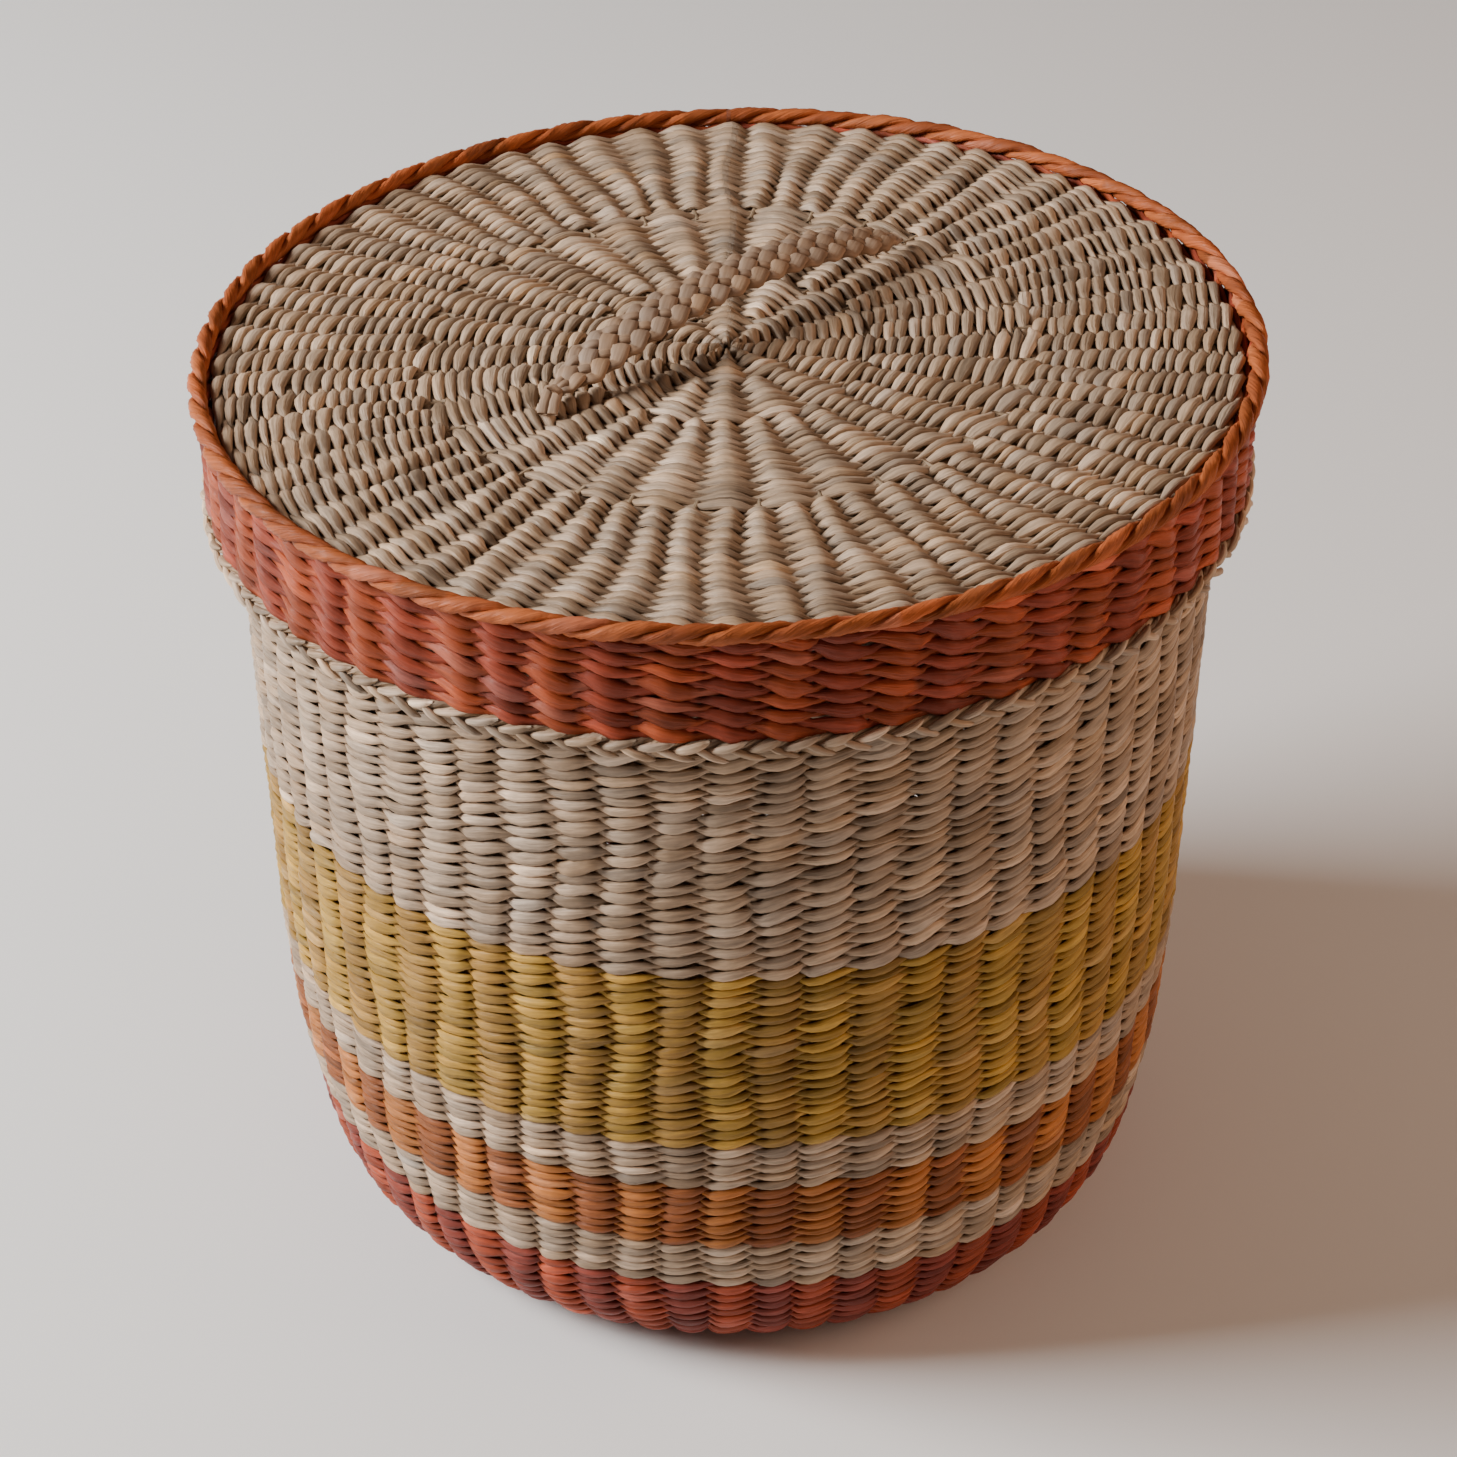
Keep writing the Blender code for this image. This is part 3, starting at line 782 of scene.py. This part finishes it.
def disc_rows(name, line, rings, material, body, node, seed, rise):
    """Rows of a flat disc, with more stakes further out."""
    for ring, (start, end, rows, stakes) in enumerate(rings):
        piece, = twined(f"{name}_{ring + 1}", line, start, end, rows, stakes, NATURAL,
                        material, seed + ring, rise=rise, pale=0.10, unevenness=0.17,
                        depth=DISC_DEPTH)
        place(piece, body, "natural_seagrass", *([node] if ring == 0 else []))


def build_wall(foot, natural, dyed):
    """The six bands of the wall, from the foot to the rim."""
    bands = (("red", 13, RED, dyed, "red_seagrass", {}),
             ("lower_natural", 5, NATURAL, natural, "natural_seagrass", {}),
             ("amber", 7, AMBER, dyed, "amber_seagrass", {}),
             ("middle_natural", 5, NATURAL, natural, "natural_seagrass", {}),
             ("yellow", 18, YELLOW, dyed, "yellow_seagrass", {"parts": 2}),
             ("upper_natural", 27, NATURAL, natural, "natural_seagrass",
              {"parts": 2, "pale": 0.07}))
    start = foot
    for index, (colour, rows, dyes, material, slot_name, looks) in enumerate(bands):
        end = WALL.place_at_height(BAND_TOPS[index])
        name = f"wall_{colour}"
        pieces = twined(name, WALL, start, end, rows, STAKES, dyes, material, 21 + index,
                        **looks)
        for piece in pieces:
            place(piece, "basket", slot_name, *([f"{name}_weft"] if piece is pieces[0] else []))
        start = end


def build_basket(natural, dyed, cane):
    """The base, the wall, the rim and the stakes inside them."""
    foot = WALL.place_at_radius(FOOT_RADIUS) - FOOT_OVERLAP
    rings = (*INNER_RINGS, (0.0466, BASE_SPLIT, 12, 32), (BASE_SPLIT, foot, 5, 64))
    disc_rows("base", WALL, rings, natural, "basket", "base_weft", 10, 1.0)
    build_wall(foot, natural, dyed)
    rim = twisted_ring("rim_rope", RIM_CENTRE, RIM_RADIUS, 3, 40, NATURAL, natural, 31)
    place(rim, "basket", "natural_seagrass", "rim_border")
    top = WALL.place_at_height(BAND_TOPS[-1]) + 0.002
    stakes = canes("stakes_of_basket", WALL, top, cane, 32, count=60)
    place(stakes, "basket", "stake_cane", "basket_stakes")


def build_chain(natural):
    """The chain border: two rows of links on a twisted core."""
    for row, (height, climb, half_height, seed) in enumerate(CHAIN_ROWS):
        chain = beads(f"lid_chain_{row + 1}", height + CHAIN_FOOT, climb, half_height, 0.5 * row,
                      natural, seed)
        place(chain, "lid", "natural_seagrass", *(["lid_chain_border"] if row == 0 else []))
    core = twisted_ring("lid_chain_core", (SKIRT_RADIUS, CHAIN_FOOT + CORE_HEIGHT), CORE_RADIUS,
                        2, 50, NATURAL, natural, 56)
    place(core, "lid", "natural_seagrass")


def build_lid(natural, dyed, cane):
    """The lid's top, its skirt, the rope edge, the chain and the stakes of the top."""
    rings = (*INNER_RINGS, (0.0466, LID_SPLIT, 12, 32), (LID_SPLIT, LID_RINGS_END, 15, 64))
    disc_rows("lid_top", DISC, rings, natural, "lid", "lid_top_weft", 40, -1.0)
    skirt, = twined("lid_skirt", SKIRT, SKIRT_ENDS[0], SKIRT.length - SKIRT_ENDS[1], 7, STAKES,
                    SKIRT_DYE, dyed, 51, rise=-1.0, spread=0.24, pale=0.05, depth=SKIRT_DEPTH)
    place(skirt, "lid", "orange_seagrass", "lid_skirt_weft")
    rope = twisted_ring("lid_rope", ROPE_CENTRE, ROPE_RADIUS, 2, 32, ROPE_DYE, dyed, 52,
                        steps=10, spread=0.2)
    place(rope, "lid", "orange_seagrass", "lid_border_rope")
    build_chain(natural)
    stakes = canes("stakes_of_lid_top", DISC, SKIRT_RADIUS - 0.003, cane, 55)
    place(stakes, "lid", "stake_cane", "lid_stakes")


def build_handle(plaited):
    """The strap on its own body, and its ends and tails, which stay on the lid."""
    along = unit(HANDLE_BACK - HANDLE_FRONT)
    across = np.cross(UP, along) * math.cos(PLAIT_TILT) + UP * math.sin(PLAIT_TILT)
    plait = braid("plait", handle_path(), across, PLAIT_SIZES, 0.042, 5, plaited, 61)
    place(plait, "handle", "plait_seagrass", "handle_plait")

    place(diving_strands(plaited), "lid", "plait_seagrass")
    for name, anchor, inward, seed in (("front", HANDLE_FRONT, along, 62),
                                       ("back", HANDLE_BACK, -along, 63)):
        node = f"handle_tail_{name}"
        box_low, box_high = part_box(node)
        path = anchor + inward * np.linspace(0.0, TAIL_LENGTH, 20)[:, None]
        path[:, 2] = (box_low.z + box_high.z) / 2
        tail = braid(f"tail_{name}", path, across, TAIL_SIZES, 0.024, 3, plaited, seed)
        place(tail, "lid", "plait_seagrass", node)


# ---------------------------------------------------------------- camera, floor and light
LENS = 88.05
SENSOR_WIDTH = 36.0
CAMERA_PLACE = (0.0, -0.99547, 0.85587)
CAMERA_LOOK = (0.00027, 0.82019, -0.57210)
CAMERA_ROLL = math.radians(-0.0944)
FLOOR_HALF_SIZE = 6.0
FLOOR_GAP = 0.0002             # between the floor and the lowest point of the CAD
LIGHT_TARGET = (0.0, 0.0, 0.16)


def place_camera():
    """The camera that fits the photo's outlines."""
    camera = linked("camera", bpy.data.cameras.new("camera"))
    camera.data.lens = LENS
    camera.data.sensor_width = SENSOR_WIDTH
    turn = Vector(CAMERA_LOOK).to_track_quat("-Z", "Y").to_matrix().to_4x4()
    roll = Matrix.Rotation(CAMERA_ROLL, 4, "Z")
    camera.matrix_world = Matrix.Translation(CAMERA_PLACE) @ turn @ roll
    bpy.context.scene.camera = camera


def lay_floor():
    """A wide, pale and matte floor just under the basket."""
    mesh = bpy.data.meshes.new("floor")
    size = FLOOR_HALF_SIZE
    mesh.from_pydata([(-size, -size, 0), (size, -size, 0), (size, size, 0), (-size, size, 0)],
                     [], [(0, 1, 2, 3)])
    floor = linked("floor", mesh)
    floor.location.z = cad_low.z - FLOOR_GAP
    paint, _, _, shader = nodes_of("floor")
    shader.inputs["Base Color"].default_value = (0.88, 0.88, 0.87, 1.0)
    shader.inputs["Roughness"].default_value = 0.9
    mesh.materials.append(paint)


def soft_light(name, location, size, power, colour):
    """A square light that faces the basket."""
    data = bpy.data.lights.new(name, "AREA")
    data.size = size
    data.energy = power
    data.color = colour
    light = linked(name, data)
    light.location = location
    aim = (Vector(LIGHT_TARGET) - Vector(location)).to_track_quat("-Z", "Y")
    light.rotation_euler = aim.to_euler()


def light_room():
    """A weak warm world, a window on the left and the room's warm light on the right."""
    world = bpy.data.worlds.new("studio")
    world.use_nodes = True
    background = world.node_tree.nodes["Background"]
    background.inputs["Color"].default_value = (1.0, 0.75, 0.64, 1.0)
    background.inputs["Strength"].default_value = 0.125
    bpy.context.scene.world = world
    soft_light("window", (-1.92, -0.06, 1.25), 1.0, 104.0, (1.0, 0.99, 0.98))
    soft_light("room", (1.6, -0.1, 0.8), 1.2, 14.0, (1.0, 0.66, 0.46))


def main():
    """Materials, then the three bodies, then the studio."""
    natural = seagrass("natural_seagrass", roughness=0.46)
    dyed = seagrass("dyed_seagrass", roughness=0.44, grain_and_groove_shade=0.24, specular=0.16)
    plaited = seagrass("plait_seagrass", roughness=0.60, grain_and_groove_shade=0.12, bump=0.4)
    cane = seagrass("stake_cane", roughness=0.6, grain_and_groove_shade=0.12)
    build_basket(natural, dyed, cane)
    build_lid(natural, dyed, cane)
    build_handle(plaited)
    place_camera()
    lay_floor()
    light_room()


main()
